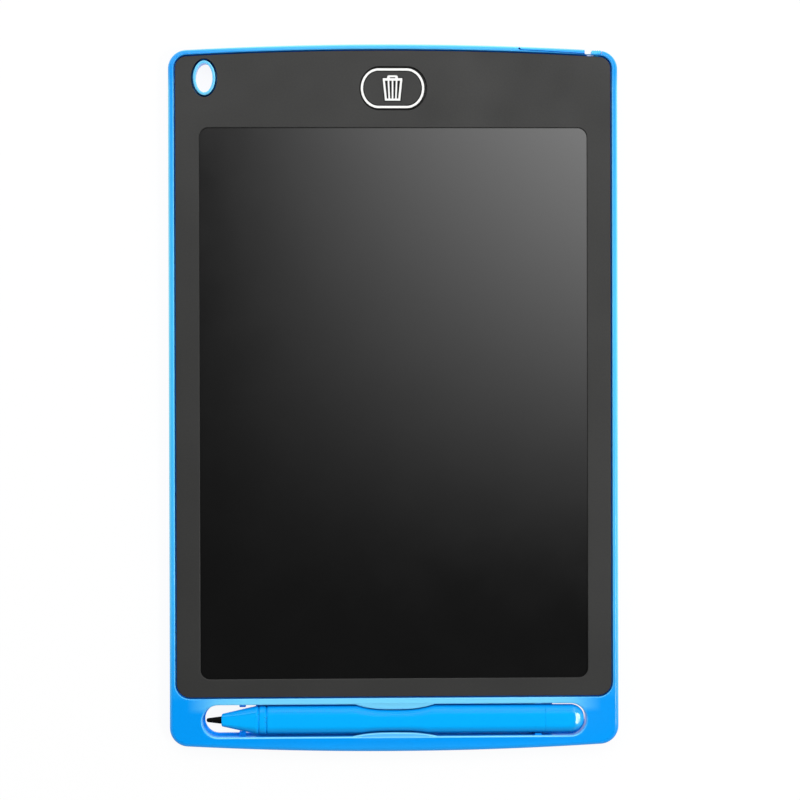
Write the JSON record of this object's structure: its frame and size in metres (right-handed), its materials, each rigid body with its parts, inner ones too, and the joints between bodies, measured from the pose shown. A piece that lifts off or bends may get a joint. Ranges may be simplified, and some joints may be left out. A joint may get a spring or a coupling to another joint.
{
  "type": "lcd writing tablet",
  "caption": "Slim writing tablet with a dark pressure-drawing screen, an erase key, a lock slider, a lanyard eye and a stylus clipped in a slot across its foot.",
  "frame": {"origin": "middle of the back face, on the plane that the tablet rests on", "axes": "+Z out of the screen, +Y towards the end with the erase key, +X to the right as the screen is read"},
  "size_m": [0.1434, 0.2258, 0.0055],
  "materials": {
    "blue_plastic": "moulded plastic, semi-gloss blue",
    "dark_plastic": "fine-textured dark grey plastic",
    "display_film": "clear film over the dark liquid-crystal sheet, satin",
    "tape": "double-sided adhesive tape",
    "crystal_sheet": "black-backed liquid-crystal sheet",
    "stiff_plate": "plain pale plastic sheet",
    "ribbon_film": "amber flexible circuit film",
    "board_laminate": "green solder-masked laminate",
    "component_black": "black moulded component body",
    "capacitor_ceramic": "fired ceramic body",
    "steel": "plain nickel-plated steel",
    "stylus_plastic": "moulded plastic, glossy light blue",
    "nib_plastic": "hard black acetal"
  },
  "bodies": {
    "tablet": {"rear_shell": "blue_plastic", "front_frame": "dark_plastic", "writing_film": "display_film", "panel_tape": "tape", "lcd_panel": "crystal_sheet", "support_plate": "stiff_plate", "display_ribbon": "ribbon_film", "circuit_board": "board_laminate", "driver_chip": "component_black", "boost_inductor": "component_black", "capacitor_upper": "capacitor_ceramic", "capacitor_lower": "capacitor_ceramic", "erase_switch": "component_black", "lock_switch": "steel", "coin_cell": "steel", "cell_contact_negative": "steel", "cell_contact_positive": "steel"},
    "erase_button": {"erase_key": "dark_plastic", "switch_plunger": "component_black"},
    "lock_slider": {"lock_lever": "blue_plastic"},
    "stylus": {"stylus_nib": "nib_plastic", "stylus_nose": "stylus_plastic", "stylus_barrel": "stylus_plastic", "stylus_end_cap": "stylus_plastic"},
    "door": {"battery_door": "blue_plastic", "door_screw": "steel"}
  },
  "joints": [
    {"name": "erase_press", "type": "slide", "parent": "tablet", "child": "erase_button", "axis": [0, 0, -1], "range_m": [0, 0.00025], "stiffness_N_per_m": 400, "springref_m": -0.0005},
    {"name": "lock_slide", "type": "slide", "parent": "tablet", "child": "lock_slider", "axis": [-1, 0, 0], "range_m": [0, 0.002]},
    {"name": "stylus_lift", "type": "slide", "parent": "tablet", "child": "stylus", "axis": [0, 0, 1], "range_m": [0, 0.02]},
    {"name": "door_off", "type": "slide", "parent": "tablet", "child": "door", "axis": [0, 0, -1], "range_m": [0, 0.012]}
  ]
}
